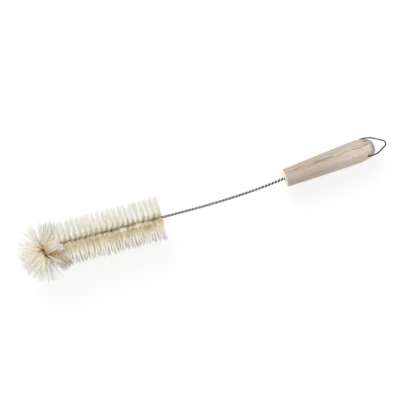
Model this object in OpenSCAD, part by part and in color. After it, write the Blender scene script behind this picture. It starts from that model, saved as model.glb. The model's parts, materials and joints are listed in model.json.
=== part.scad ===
// Twisted-wire bottle brush with a turned wooden handle and a hanging bail.
// It lies as it comes to rest: on the bristles of its tip and on the widest part of its handle.
// The brush is built flat in its own plane, with the centre of the handle's front face at [0, 0, 0], the
// handle towards +X and the tip towards -X. at_rest() then tilts it and puts it on the floor.

/* [Handle] */
// Length of the handle
handle_length = 105.6; // [90:0.2:140]
// Diameter at the front face
handle_front_d = 19.8; // [14:0.2:24]
// Largest diameter
handle_max_d = 25.6; // [24:0.2:32]
// Length of the rounded rear, from where the handle is widest to its end
rear_length = 22.6; // [16:0.2:30]
// Rounding of the front edge
front_round = 1.2; // [0.4:0.2:3]
// Fullness of the rear dome: 2 is an ellipse, more is blunter
dome_fullness = 3.2; // [2:0.1:4]

/* [Core wire] */
// Diameter of each of the two strands
wire_d = 1.55; // [1.2:0.05:2]
// Bare stem between the handle and the bristles
stem_length = 142; // [60:1:240]
// Length of one full twist in the bare stem
stem_pitch = 7.7; // [6:0.1:12]
// Length of one full twist between the bristles
brush_pitch = 11.8; // [10:0.1:16]
// Depth that the stem reaches into the handle
stem_insert = 24; // [15:1:40]
// Clearance of the stem in its bore
bore_clearance = 0.08; // [0.02:0.01:0.3]

/* [Bristles] */
// Length of the straight bristled body
body_length = 118; // [60:1:160]
// Diameter across the bristles of the body
body_d = 52; // [40:1:64]
// Length of the bristles on the tip ring, from the wire
tip_bristle = 28; // [20:0.5:32]
// Thickness of the bristles where the two strands clamp them
root_thickness = 0.2; // [0.1:0.02:0.3]
// How far the bristles of one fan spread along the brush, at their ends
fan_spread = 3.4; // [1:0.1:4.5]
// How much the bristles' ends are uneven
unevenness = 1.4; // [0:0.1:3]

/* [Tip ring] */
// Radius of the ring that the end of the core is bent into
ring_r = 7; // [6:0.2:10]
// How much of a full circle the ring is, in degrees
ring_arc = 255; // [180:5:300]
// How far the ring's centre lies beside the body's axis
ring_offset = 3.2; // [0:0.1:5]
// How far the ring lies in front of the straight body
ring_ahead = 16; // [14:0.5:26]
// Turn of the ring's plane about the upright, in degrees
ring_turn = 11; // [0:1:20]

/* [Curve of the whole brush] */
// Direction of the handle in the brush's plane, in degrees
handle_heading = 4.2; // [0:0.1:8]
// Direction of the stem just in front of the handle, in degrees
stem_heading = 7.8; // [0:0.1:12]
// Direction of the bristled body, in degrees
body_heading = -1.1; // [-4:0.1:2]

/* [Hanging bail] */
// Diameter of the bail's wire
bail_wire_d = 1.5; // [1.2:0.1:2]
// Where its cross hole is, in front of the handle's rear end
hinge_from_rear = 10.6; // [9:0.2:16]
// Clearance of the wire in the cross hole, all round
hinge_clearance = 0.08; // [0.02:0.01:0.1]
// Depth that each hooked end reaches into the wood
hook_depth = 6; // [4:0.5:10]
// Bend radius of the hooks, at the wire's middle
hook_bend = 1.2; // [1.1:0.1:2]
// How much further from the wood the far leg stands than the near leg
far_leg_extra = 3.6; // [0.8:0.1:4.5]
// Where the far leg turns in towards the corner, behind the hinge
far_bow_at = 10.6; // [9:0.2:13]
// How much nearer to the handle's axis the far leg is there than at its hook
far_bow_in = 1.5; // [0.8:0.1:3]
// Rounding of that turn
far_bow_r = 20; // [8:1:20]
// Length of the bail behind the hinge, to the corner before it is rounded
bail_corner_at = 27.7; // [25:0.1:40]
// How far that corner lies beside the handle's axis, towards the near leg
bail_corner_side = 1.9; // [0:0.1:5]
// Rounding of that corner
bail_corner_r = 6; // [3:0.2:6]
// Where the near leg turns in towards the corner, behind the hinge
near_bow_at = 10.8; // [9:0.2:14]
// How much nearer to the handle's axis the near leg is there than at its hook
near_bow_in = 0.5; // [0.2:0.1:1.5]
// Rounding of that turn
near_bow_r = 8.6; // [4:0.2:12]
// Turn of the hinge about the handle's axis, in degrees
hinge_roll = 36.6; // [0:0.2:60]

/* [Resting] */
// How far the lowest bristles of the tip are pressed in by the floor
floor_press = 1.5; // [0.5:0.1:4]

/* [Hidden] */
// The core's centreline is worked out in steps of this length.
path_step = 1;
// The stem leaves its bore along the handle's axis and takes up its own direction over this length.
mouth_length = 8;
// Twisted strands are built with this many rings for each turn, and each ring has this many corners.
strand_rings = 7;
strand_sides = 5;
// The bail has rings of this many corners, and one for each step of its bends, in degrees.
bail_sides = 12;
bail_bend_step = 13;
// The bail's bent part laps into the straight end of each hook, and is thinner than it by hook_fit all round.
hook_lap = 3;
hook_fit = 0.01;
// Gap between the two strands where no bristles part them, and between a strand and the bristles it clamps.
strand_gap = 0.04;
clamp_gap = 0.12;
// Length over which the strands part to take in the bristles
parting_length = 6;
// The bristles' root is a ribbon through the core. It stands this far out of the wires, with this half thickness.
ribbon_out = 0.15;
ribbon_edge = 0.55;
// Steps of the ribbon for each turn, with four bristle spikes each
ribbon_steps = 20;
// Gap between one turn of bristles and the next
turn_gap = 0.1;
// Bristles stop at this share of the way to where another stretch of the core is just as near.
own_share = 0.9;
// Scatter of the spikes' directions: round the core in degrees, and along it as a share of the spread
angle_scatter = 3;
lean_scatter = 0.35;
// The bore goes this much deeper than the stem.
bore_end_gap = 0.5;
// Control lengths of the bend that leads the core into its ring
bend_out = 7;
bend_in = 6;
// The handle's taper: 1 is a straight cone, more swells earlier
taper_ease = 1.1;
profile_steps = 14;
dome_steps = 12;
// The lowest place of the handle is looked for in this many steps.
lowest_steps = 400;
round_fn = 96;
// Distance to either side over which a strand's direction is taken
strand_slope = 0.2;
// Clearance of the bail's legs from the wood beside the cross hole
wood_gap = 0.15;
// The bore and the cross hole are cut this far past the surface.
over = 1;

wire_r = wire_d / 2;
handle_max_r = handle_max_d / 2;
handle_widest_at = handle_length - rear_length;
hinge_at = handle_length - hinge_from_rear;
body_turns = round(body_length / brush_pitch);
turn_length = body_length / body_turns;

function lerp(a, b, t) = a + (b - a) * t;
function clamp(t) = min(1, max(0, t));
function unit(v) = v / norm(v);
function in_plane(angle) = [cos(angle), sin(angle), 0];

// ---- Centreline of the core, from its end in the handle to its cut end in the tip ring ----

// Direction of the core at a distance s in front of the handle
function heading(s) = let (
    bow = pow(1 - clamp(s / stem_length), 2),
    own = lerp(body_heading, stem_heading, bow))
    lerp(handle_heading, own, clamp(s / mouth_length));

bore_steps = round(stem_insert / path_step);
in_bore = [for (i = [bore_steps : -1 : 1]) stem_insert * i / bore_steps * in_plane(handle_heading)];
straight_length = stem_length + body_length;
straight_steps = round(straight_length / path_step);
straight_step = straight_length / straight_steps;
straight = [for (i = 0, p = [0, 0, 0]; i <= straight_steps;
    p = p - straight_step * in_plane(heading((i + 0.5) * straight_step)), i = i + 1) p];
body_end = straight[len(straight) - 1];
forward = -in_plane(body_heading);

// The ring stands across the body's line. Its angle 0 is at the core's side, and 90 is at the top.
ring_side = in_plane(90 + ring_turn);
ring_centre = body_end + ring_ahead * forward - ring_offset * in_plane(90 + body_heading);
function on_ring(angle) = ring_centre + ring_r * (cos(angle) * ring_side + sin(angle) * [0, 0, 1]);
ring_start = on_ring(0);
ring_steps = round(ring_arc * PI / 180 * ring_r / path_step);
ring_points = [for (i = [1 : ring_steps]) on_ring(ring_arc * i / ring_steps)];

// The bend is a Bezier curve: it leaves along the body and arrives upright at the ring's side.
function bezier(a, b, c, d, t) = pow(1 - t, 3) * a + 3 * t * pow(1 - t, 2) * b
    + 3 * t * t * (1 - t) * c + pow(t, 3) * d;
bend_steps = round(norm(ring_start - body_end) / path_step);
bend_points = [for (i = [1 : bend_steps]) bezier(body_end, body_end + bend_out * forward,
    ring_start - [0, 0, bend_in], ring_start, i / bend_steps)];

core = concat(in_bore, straight, bend_points, ring_points);
last = len(core) - 1;
core_dir = [for (i = [0 : last]) unit(core[min(i + 1, last)] - core[max(i - 1, 0)])];

// Across directions carried along the core without twisting, each square to the core
core_up = [for (i = 0, n = [0, 0, 1]; i <= last;
    n = i < last ? unit(n - core_dir[i + 1] * (n * core_dir[i + 1])) : n, i = i + 1) n];
core_s = [for (i = 0, s = 0; i <= last;
    s = i < last ? s + norm(core[i + 1] - core[i]) : s, i = i + 1) s];

brush_start = stem_insert + stem_length;
brush_end = brush_start + body_length;
core_end = core_s[last];
tip_turns = floor((core_end - brush_end) / turn_length);
tip_turn_length = (core_end - brush_end) / tip_turns;

function index_at(s, lo = 0, hi = last) = hi - lo <= 1 ? lo
    : let (mid = floor((lo + hi) / 2)) core_s[mid] <= s ? index_at(s, mid, hi) : index_at(s, lo, mid);

// [point, direction, up, side] of the core at a distance s from its end in the handle
function core_at(s) = let (
    i = index_at(s),
    f = (s - core_s[i]) / (core_s[i + 1] - core_s[i]),
    dir = unit(lerp(core_dir[i], core_dir[i + 1], f)),
    rough = lerp(core_up[i], core_up[i + 1], f),
    up = unit(rough - dir * (rough * dir)))
    [lerp(core[i], core[i + 1], f), dir, up, cross(dir, up)];

function twist(s) = 360 * (min(s, brush_start) / stem_pitch + max(s - brush_start, 0) / brush_pitch);
function untwist(angle) = let (at_brush = twist(brush_start))
    angle < at_brush ? angle / 360 * stem_pitch : brush_start + (angle - at_brush) / 360 * brush_pitch;

// The direction in which bristles leave the core, and the one in which the two strands lie
function bristle_dir(f, angle) = cos(angle) * f[2] - sin(angle) * f[3];
function strand_dir(f, angle) = cos(angle) * f[3] + sin(angle) * f[2];

// ---- Profile of the handle ----

function dome_r(t) = handle_max_r * pow(1 - t * t, 1 / dome_fullness);
function taper_r(t) = lerp(handle_front_d / 2, handle_max_r, 1 - pow(1 - t, taper_ease));
function handle_r(x) = x < handle_widest_at ? taper_r(x / handle_widest_at)
    : dome_r((x - handle_widest_at) / (handle_length - handle_widest_at));

// ---- Bristles ----

// The bristles' ends are uneven. These repeat from a fixed seed, so every build is the same.
uneven_count = 4 * ribbon_steps;
uneven_reach = rands(0, 1, uneven_count, 7);
uneven_turn = rands(-1, 1, uneven_count + 1, 11);
uneven_lean = rands(-1, 1, uneven_count + 3, 13);
function pick(list, i) = list[i % len(list)];

// The ribbon's half width
ribbon_r = wire_d + clamp_gap + root_thickness / 2 + ribbon_out;

// A bristle stops before it gets as near to another stretch of the core as it is to its own root.
tip_core = [for (i = [0 : last]) if (core_s[i] > brush_end - body_d) core[i]];
function room(p, dir) = own_share * min([for (q = tip_core)
    let (across = dir * (q - p), away = norm(q - p))
    across > 0 && away > 2 * wire_d ? away * away / (2 * across) : handle_length]);

// End of a spike that leaves the core at s on one side and leans ahead or behind. i picks its unevenness.
function spike_end(s, i, side, lean) = let (
    f = core_at(s),
    dir = side * bristle_dir(f, twist(s) + angle_scatter * pick(uneven_turn, i)),
    whole = lerp(body_d / 2, tip_bristle, clamp((s - brush_end) / ring_ahead)),
    reach = min(whole - unevenness * pick(uneven_reach, i), room(f[0], dir)),
    spread = reach / whole * fan_spread / 2 * (lean + lean_scatter * pick(uneven_lean, i)))
    f[0] + reach * dir + spread * f[1];

// The brush is filled in stretches: one for each turn of the body, and as many along the tip.
function stretch(from, length, k) = [from + (k - 1) * length + turn_gap / 2, from + k * length - turn_gap / 2];
function body_stretch(k) = stretch(brush_start, turn_length, k);
function tip_stretch(k) = stretch(brush_end, tip_turn_length, k);

// The ends of a stretch's spikes: four for each step, behind and ahead on one side, then on the other
function steps_in(span) = round((span[1] - span[0]) / brush_pitch * ribbon_steps);
function spike_ends(span) = let (n = steps_in(span))
    [for (i = [0 : n - 1], side = [1, -1], lean = [-1, 1])
        spike_end(lerp(span[0], span[1], (i + 0.5 + 0.25 * lean) / n), 4 * i + side + lean + 2, side, lean)];

// ---- Rest: the brush lies on the widest part of its handle and on its lowest bristles ----

all_ends = [for (k = [1 : body_turns]) each spike_ends(body_stretch(k)),
    for (k = [1 : tip_turns]) each spike_ends(tip_stretch(k))];
slopes = [for (p = all_ends) atan2(-handle_max_r - p.z, handle_widest_at - p.x)];
tilt = max(slopes) - asin(floor_press / (handle_widest_at + norm(ring_centre)));
lift = max([for (i = [0 : lowest_steps]) let (x = handle_length * i / lowest_steps)
    x * cos(handle_heading) * sin(tilt) + handle_r(x) * cos(tilt)]);
function rest(p) = [p.x * cos(tilt) + p.z * sin(tilt), p.y, lift + p.z * cos(tilt) - p.x * sin(tilt)];
function unrest(p) = let (h = p.z - lift)
    [p.x * cos(tilt) - h * sin(tilt), p.y, h * cos(tilt) + p.x * sin(tilt)];

// A bristle that meets the floor bends, so its end lies on the floor.
function on_floor(p) = let (q = rest(p)) q.z < 0 ? unrest([q.x, q.y, 0]) : p;

// ---- Solids of the bristles ----

function ribbon_section(s) = let (
    f = core_at(s),
    u = ribbon_r * bristle_dir(f, twist(s)),
    w = strand_dir(f, twist(s)),
    mid = root_thickness / 2 * w,
    edge = ribbon_edge * w)
    [f[0] + mid, f[0] + u + edge, f[0] + u - edge, f[0] - mid, f[0] - u - edge, f[0] - u + edge];

function spike_faces(a, b, c, tip) = [[a, b, tip], [b, c, tip], [c, a, tip]];

// One stretch of bristles: a twisted ribbon clamped between the strands, with spikes all along its two edges
module bristles(span) {
    n = steps_in(span);
    sections = [for (i = [0 : n]) each ribbon_section(lerp(span[0], span[1], i / n))];
    function at(i, j) = 6 * i + j % 6;
    function end_at(i, k) = 6 * (n + 1) + 4 * i + k;
    sides = [for (i = [0 : n - 1], j = [0, 2, 3, 5])
        each [[at(i, j), at(i, j + 1), at(i + 1, j + 1)], [at(i, j), at(i + 1, j + 1), at(i + 1, j)]]];
    // The quarter of each edge step nearer its start carries the spike that leans behind.
    spikes = [for (i = [0 : n - 1], k = [0, 1]) let (j = 1 + 3 * k) each concat(
        spike_faces(at(i, j), at(i + 1, j + 1), at(i + 1, j), end_at(i, 2 * k + 1)),
        spike_faces(at(i, j), at(i, j + 1), at(i + 1, j + 1), end_at(i, 2 * k)))];
    near = [for (j = [1, 2, 3, 4]) [at(0, j + 1), at(0, j), at(0, 0)]];
    far = [for (j = [1, 2, 3, 4]) [at(n, j), at(n, j + 1), at(n, 0)]];
    ends = [for (p = spike_ends(span)) on_floor(p)];
    polyhedron(concat(sections, ends), concat(sides, spikes, near, far));
}

// ---- Sub-parts ----

// Outer radius of the two strands together
stem_r = wire_d + strand_gap / 2;

module in_handle() {
    rotate([0, 0, handle_heading]) children();
}

module at_hinge() {
    translate([hinge_at, 0, 0]) rotate([-hinge_roll, 0, 0]) children();
}

module handle() color("wheat") {
    round_edge = [for (a = [0 : 30 : 90])
        [taper_r(0) - front_round * (1 - sin(a)), front_round * (1 - cos(a))]];
    taper = [for (i = [1 : profile_steps])
        let (x = lerp(front_round, handle_widest_at, i / profile_steps)) [handle_r(x), x]];
    dome = [for (i = [1 : dome_steps - 1])
        let (t = sin(90 * i / dome_steps)) [dome_r(t), lerp(handle_widest_at, handle_length, t)]];
    in_handle() difference() {
        rotate([0, 90, 0]) rotate_extrude($fn = round_fn)
            polygon(concat([[0, 0]], round_edge, taper, dome, [[0, handle_length]]));
        translate([-over, 0, 0]) rotate([0, 90, 0])
            cylinder(h = over + stem_insert + bore_end_gap, r = stem_r + bore_clearance, $fn = round_fn);
        at_hinge() rotate([90, 0, 0])
            cylinder(h = handle_max_d + 2 * over, r = bail_wire_d / 2 + hinge_clearance,
                center = true, $fn = round_fn);
    }
}

// A tube through rings of points, each with the same number of corners, from one end to the other
module tube(rings) {
    corners = len(rings[0]);
    n = len(rings) - 1;
    function at(i, j) = corners * i + j % corners;
    sides = [for (i = [0 : n - 1], j = [0 : corners - 1])
        each [[at(i, j + 1), at(i, j), at(i + 1, j)], [at(i, j + 1), at(i + 1, j), at(i + 1, j + 1)]]];
    near = [for (j = [1 : corners - 2]) [at(0, 0), at(0, j), at(0, j + 1)]];
    far = [for (j = [1 : corners - 2]) [at(n, 0), at(n, j + 1), at(n, j)]];
    polyhedron([for (ring = rings) each ring], concat(sides, near, far));
}

// A ring of corners round p, in the plane of u and v
function ring_of(p, u, v, r, corners) = [for (j = [0 : corners - 1]) let (a = 360 * j / corners)
    p + r * (cos(a) * u + sin(a) * v)];

// One of the two strands, swept along its helix. which is 1 or -1.
module strand(which) {
    // The strands lie closer in the bare stem than where they clamp the bristles.
    function apart(s) = wire_r + lerp(strand_gap / 2, root_thickness / 2 + clamp_gap,
        clamp((s - brush_start + parting_length) / parting_length));
    function middle(s) = let (f = core_at(s)) f[0] + which * apart(s) * strand_dir(f, twist(s));
    function ring(s) = let (
        near = max(s - strand_slope, 0),
        far = min(s + strand_slope, core_end),
        dir = unit(middle(far) - middle(near)),
        f = core_at(s),
        rough = which * strand_dir(f, twist(s)),
        u = unit(rough - dir * (rough * dir)))
        ring_of(middle(s), u, cross(dir, u), wire_r, strand_sides);
    n = ceil(twist(core_end) / 360 * strand_rings);
    tube([for (i = [0 : n]) ring(min(untwist(twist(core_end) * i / n), core_end))]);
}

module wire_strand_a() color("silver") strand(1);

module wire_strand_b() color("darkgray") strand(-1);

module body_bristles(k) color("ivory") bristles(body_stretch(k));

module tip_bristles(k) color("cornsilk") bristles(tip_stretch(k));

// ---- Bail: a wire bent in one plane, whose X runs along the handle from the hinge and Y along the hinge ----

hinge_r = handle_r(hinge_at);
near_leg = hinge_r + wood_gap + hook_bend;
far_leg = near_leg + far_leg_extra;
bail_path = [
    [0, hinge_r - hook_depth],
    [0, far_leg],
    [far_bow_at, far_leg - far_bow_in],
    [bail_corner_at, -bail_corner_side],
    [near_bow_at, near_bow_in - near_leg],
    [0, -near_leg],
    [0, hook_depth - hinge_r]];
bail_bends = [0, hook_bend, far_bow_r, bail_corner_r, near_bow_r, hook_bend, 0];
bail_corner = 3;
bail_last = len(bail_path) - 1;

function bail_dir(i) = unit(bail_path[i + 1] - bail_path[i]);
function bail_turn(i) = i < 1 || i >= bail_last ? 0 : let (a = bail_dir(i - 1), b = bail_dir(i))
    atan2(a.x * b.y - a.y * b.x, a * b);
function bail_cut(i) = bail_bends[i] * tan(abs(bail_turn(i)) / 2);
function bend_middle(i) = let (a = bail_dir(i - 1), turn = sign(bail_turn(i)))
    bail_path[i] - bail_cut(i) * a + turn * bail_bends[i] * [-a.y, a.x];

// [point, direction] along the bail, at each end and in steps through its bends
function bend_at(i) = let (turn = bail_turn(i), a = bail_dir(i - 1), n = ceil(abs(turn) / bail_bend_step))
    [for (k = [0 : n]) let (
        now = atan2(a.y, a.x) + turn * k / n,
        out = -sign(turn) * [-sin(now), cos(now)])
        [bend_middle(i) + bail_bends[i] * out, [cos(now), sin(now)]]];
bail_line = concat(
    [[bail_path[0] + hook_lap * bail_dir(0), bail_dir(0)]],
    [for (i = [1 : bail_last - 1]) each bend_at(i)],
    [[bail_path[bail_last] - hook_lap * bail_dir(bail_last - 1), bail_dir(bail_last - 1)]]);

// The straight end of a hook, which turns in the cross hole. It stops where bend i of the bail starts.
module hook_end(i, side) {
    inner = hinge_r - hook_depth;
    translate([0, side * inner, 0]) rotate([-90 * side, 0, 0])
        cylinder(h = abs(bail_path[i].y) - bail_cut(i) - inner, d = bail_wire_d, $fn = round_fn);
}

module hanging_bail() color("dimgray") in_handle() at_hinge() {
    hook_end(1, 1);
    hook_end(bail_last - 1, -1);
    tube([for (q = bail_line) ring_of([q[0].x, q[0].y, 0], [-q[1].y, q[1].x, 0], [0, 0, 1],
        bail_wire_d / 2 - hook_fit, bail_sides)]);
}

// ---- The whole brush at rest, with the middle of its box over [0, 0] ----

// The tip's bristles reach furthest ahead and to both sides, and the bail's rounded corner furthest back.
tip_ends = [for (k = [1 : tip_turns], p = spike_ends(tip_stretch(k))) rest(p)];
function on_hinge(q) = let (x = hinge_at + q.x, y = q.y * cos(hinge_roll))
    x * in_plane(handle_heading) + y * in_plane(handle_heading + 90) - [0, 0, q.y * sin(hinge_roll)];
bail_end = rest(on_hinge(bend_middle(bail_corner))).x + bail_corner_r + bail_wire_d / 2;
middle_x = (min([for (p = tip_ends) p.x]) + bail_end) / 2;
middle_y = (min([for (p = tip_ends) p.y]) + max([for (p = tip_ends) p.y])) / 2;

module at_rest() {
    translate([-middle_x, -middle_y, lift]) rotate([0, tilt, 0]) children();
}

at_rest() handle();
at_rest() wire_strand_a();
at_rest() wire_strand_b();
at_rest() hanging_bail();
for (k = [1 : body_turns])
    at_rest() body_bristles(k);
for (k = [1 : tip_turns])
    at_rest() tip_bristles(k);
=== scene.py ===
"""The looks of a twisted-wire bottle brush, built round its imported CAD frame.

Sizes are in millimetres and angles in degrees until to_frame() turns them into the frame's metres. The brush's own
plane has the centre of the handle's front face at its origin, the handle towards +X and the tip towards -X.
"""

import json
from functools import partial
from itertools import accumulate

import bpy
import numpy as np
from mathutils import Matrix, Vector


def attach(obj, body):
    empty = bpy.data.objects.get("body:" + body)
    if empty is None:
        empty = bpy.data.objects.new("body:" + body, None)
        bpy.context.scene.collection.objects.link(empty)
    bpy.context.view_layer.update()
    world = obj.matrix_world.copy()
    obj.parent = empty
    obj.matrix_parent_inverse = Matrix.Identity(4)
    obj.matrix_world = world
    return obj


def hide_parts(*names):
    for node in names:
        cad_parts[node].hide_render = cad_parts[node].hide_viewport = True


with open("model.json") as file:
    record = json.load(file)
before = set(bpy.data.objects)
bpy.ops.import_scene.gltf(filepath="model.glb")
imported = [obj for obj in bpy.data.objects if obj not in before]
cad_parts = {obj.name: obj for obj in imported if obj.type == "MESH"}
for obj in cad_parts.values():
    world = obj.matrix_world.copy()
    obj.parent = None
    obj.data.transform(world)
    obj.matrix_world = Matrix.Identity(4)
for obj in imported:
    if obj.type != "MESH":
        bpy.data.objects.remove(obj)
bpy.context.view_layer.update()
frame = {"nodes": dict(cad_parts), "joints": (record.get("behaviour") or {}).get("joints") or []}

MM = 0.001
SEED = 41

# ---- Sizes, as the CAD source has them ----

HANDLE_LENGTH, REAR_LENGTH = 105.6, 22.6
HANDLE_FRONT_R, HANDLE_MAX_R = 9.9, 12.8
DOME_FULLNESS, TAPER_EASE = 3.2, 1.1
WIRE_R = 0.775
STEM_LENGTH, BODY_LENGTH, STEM_INSERT = 142.0, 118.0, 24.0
STEM_PITCH, BRUSH_PITCH = 7.7, 11.8
BODY_R, TIP_BRISTLE = 26.0, 28.0
ROOT_THICKNESS, STRAND_GAP, CLAMP_GAP, PARTING_LENGTH = 0.2, 0.04, 0.12, 6.0
RING_R, RING_ARC, RING_OFFSET, RING_AHEAD, RING_TURN = 7.0, 255.0, 3.2, 16.0, 11.0
BEND_OUT, BEND_IN = 7.0, 6.0
HANDLE_HEADING, STEM_HEADING, BODY_HEADING = 4.2, 7.8, -1.1
MOUTH_LENGTH = 8.0
BAIL_WIRE_R, HINGE_FROM_REAR, HINGE_ROLL = 0.75, 10.6, 36.6
HOOK_DEPTH, HOOK_BEND, WOOD_GAP, FAR_LEG_EXTRA = 6.0, 1.2, 0.15, 3.6
FAR_BOW_AT, FAR_BOW_IN, FAR_BOW_R = 10.6, 1.5, 20.0
BAIL_CORNER_AT, BAIL_CORNER_SIDE, BAIL_CORNER_R = 27.7, 1.9, 6.0
NEAR_BOW_AT, NEAR_BOW_IN, NEAR_BOW_R = 10.8, 0.5, 8.6
BODY_TURNS, TIP_TURNS = 10, 4

HANDLE_WIDEST_AT = HANDLE_LENGTH - REAR_LENGTH
HINGE_AT = HANDLE_LENGTH - HINGE_FROM_REAR
Z_UP = np.array([0.0, 0.0, 1.0])


# ---- Small helpers ----


def unit(v):
    """Vectors divided by their lengths, along the last axis."""
    return v / np.linalg.norm(v, axis=-1, keepdims=True)


def lerp(a, b, t):
    """a at t 0, b at t 1, and a straight mix between."""
    return a + (b - a) * t


def smooth(a, b, x):
    """0 up to a, 1 from b on, and an S-shaped rise 3t^2 - 2t^3 between."""
    t = np.clip((x - a) / (b - a), 0, 1)
    return t * t * (3 - 2 * t)


def in_plane(angle):
    """The unit direction at an angle from +X in the brush's own plane."""
    a = np.radians(angle)
    return np.stack([np.cos(a), np.sin(a), np.zeros_like(a)], -1)


def turn(axis, angle):
    """The matrix that turns column vectors about X, Y or Z."""
    return np.array(Matrix.Rotation(np.radians(angle), 3, axis))


# ---- Where the brush lies in the frame, from the bail's hinge ----

HINGE = frame["joints"][0]
AXIS_IN_BRUSH = turn("Z", HANDLE_HEADING) @ turn("X", -HINGE_ROLL) @ np.array([0.0, 1.0, 0.0])
AXIS = np.array(HINGE["axis"])
TILT = np.degrees(np.arctan2(AXIS_IN_BRUSH[2], AXIS_IN_BRUSH[0]) - np.arctan2(AXIS[2], AXIS[0]))
LYING = turn("Y", TILT)
PLACE = np.array(HINGE["pos_m"]) - MM * LYING @ (HINGE_AT * in_plane(HANDLE_HEADING))


def to_frame(points):
    """Points of the brush's own plane, tilted onto the floor and put in the frame in metres."""
    return MM * points @ LYING.T + PLACE


# ---- Meshes from whole arrays ----


def make_piece(name, points, faces, body, replaced, material):
    """A closed smooth mesh from points in the frame and a list of face index arrays, as a piece of the brush."""
    mesh = bpy.data.meshes.new(name)
    loops = np.concatenate([f.ravel() for f in faces]).astype(np.int32)
    sizes = np.concatenate([np.full(len(f), f.shape[1]) for f in faces]).astype(np.int32)
    mesh.vertices.add(len(points))
    mesh.vertices.foreach_set("co", points.astype(np.float32).ravel())
    mesh.loops.add(len(loops))
    mesh.loops.foreach_set("vertex_index", loops)
    mesh.polygons.add(len(sizes))
    mesh.polygons.foreach_set("loop_start", np.concatenate([[0], np.cumsum(sizes)[:-1]]).astype(np.int32))
    mesh.update(calc_edges=True)
    mesh.validate()
    mesh.polygons.foreach_set("use_smooth", np.ones(len(mesh.polygons), bool))
    piece = bpy.data.objects.new(name, mesh)
    bpy.context.scene.collection.objects.link(piece)
    mesh.materials.append(material)
    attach(piece, body)
    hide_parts(*replaced)
    return piece


def add_values(piece, name, values):
    """Three values for each corner point of a piece, which its material reads as a vector."""
    layer = piece.data.attributes.new(name, "FLOAT_VECTOR", "POINT")
    layer.data.foreach_set("vector", values.astype(np.float32).ravel())


def tube_faces(rings, sides):
    """Quads round a tube whose rings have the same number of corners, and a fan on a pole at each end.

    Point 0 is the near pole, then come the rings, and the last point is the far pole.
    """
    i, j = np.meshgrid(np.arange(rings - 1), np.arange(sides), indexing="ij")
    a, b = 1 + i * sides + j, 1 + i * sides + (j + 1) % sides
    quads = np.stack([a, b, b + sides, a + sides], -1).reshape(-1, 4)
    k = np.arange(sides)
    far = 1 + (rings - 1) * sides
    near_fan = np.stack([np.zeros(sides, int), 1 + (k + 1) % sides, 1 + k], -1)
    far_fan = np.stack([np.full(sides, far + sides), far + k, far + (k + 1) % sides], -1)
    return [quads, near_fan, far_fan]


def tube(centres, across, other, radii, sides):
    """Rings of corners c + r (cos a u + sin a v) along a line of centres, closed by a pole at each end.

    Returns the points, the faces and, for each point, [r cos a, r sin a, length along], as if it were straight.
    """
    a = np.linspace(0, 2 * np.pi, sides, endpoint=False)
    r = radii[:, None, None]
    rings = centres[:, None] + r * (
        np.cos(a)[None, :, None] * across[:, None] + np.sin(a)[None, :, None] * other[:, None])
    along = np.concatenate([[0], np.cumsum(np.linalg.norm(np.diff(centres, axis=0), axis=1))])
    flat = np.stack([radii[:, None] * np.cos(a), radii[:, None] * np.sin(a),
                     np.repeat(along[:, None], sides, 1)], -1)
    points = np.concatenate([centres[:1], rings.reshape(-1, 3), centres[-1:]])
    straightened = np.concatenate([[[0, 0, 0]], flat.reshape(-1, 3), [[0, 0, along[-1]]]])
    return points, tube_faces(len(centres), sides), straightened


# ---- Centreline of the core ----

PATH_STEP = 1.0


def heading(s):
    """Direction of the core s in front of the handle: the stem's own bow, eased in from the handle's direction."""
    bow = (1 - np.clip(s / STEM_LENGTH, 0, 1)) ** 2
    own = lerp(BODY_HEADING, STEM_HEADING, bow)
    return lerp(HANDLE_HEADING, own, np.clip(s / MOUTH_LENGTH, 0, 1))


def core_line():
    """The core from its end in the handle: a straight in the bore, the bowed stem and body, a Bezier bend, the ring."""
    bore_steps = round(STEM_INSERT / PATH_STEP)
    in_bore = np.linspace(STEM_INSERT, 0, bore_steps, endpoint=False)[:, None] * in_plane(HANDLE_HEADING)
    length = STEM_LENGTH + BODY_LENGTH
    steps = round(length / PATH_STEP)
    step = length / steps
    moves = -step * in_plane(heading((np.arange(steps) + 0.5) * step))
    straight = np.concatenate([np.zeros((1, 3)), np.cumsum(moves, 0)])
    body_end = straight[-1]
    ahead = -in_plane(BODY_HEADING)
    side = in_plane(90 + RING_TURN)
    centre = body_end + RING_AHEAD * ahead - RING_OFFSET * in_plane(90 + BODY_HEADING)
    start = centre + RING_R * side
    bend_steps = round(np.linalg.norm(start - body_end) / PATH_STEP)
    t = (np.arange(bend_steps) + 1)[:, None] / bend_steps
    bend = ((1 - t) ** 3 * body_end + 3 * t * (1 - t) ** 2 * (body_end + BEND_OUT * ahead)
            + 3 * t * t * (1 - t) * (start - BEND_IN * Z_UP) + t**3 * start)
    ring_steps = round(np.radians(RING_ARC) * RING_R / PATH_STEP)
    a = np.radians(RING_ARC) * (np.arange(ring_steps) + 1)[:, None] / ring_steps
    ring = centre + RING_R * (np.cos(a) * side + np.sin(a) * Z_UP)
    return np.concatenate([in_bore, straight, bend, ring]), centre


CORE, RING_CENTRE = core_line()
CORE_DIR = unit(np.concatenate([CORE[1:], CORE[-1:]]) - np.concatenate([CORE[:1], CORE[:-1]]))
# The upward direction is carried along the core without twisting, so that the twist is only the wires' own.
CORE_UP = np.array(list(accumulate(CORE_DIR[1:], lambda n, d: unit(n - d * (n @ d)), initial=Z_UP)))
CORE_S = np.concatenate([[0], np.cumsum(np.linalg.norm(np.diff(CORE, axis=0), axis=1))])

BRUSH_START = STEM_INSERT + STEM_LENGTH
BRUSH_END = BRUSH_START + BODY_LENGTH
CORE_END = CORE_S[-1]
TURN_LENGTH = BODY_LENGTH / BODY_TURNS
TIP_TURN_LENGTH = (CORE_END - BRUSH_END) / TIP_TURNS
RING_START = CORE_END - RING_R * np.radians(RING_ARC)


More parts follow.
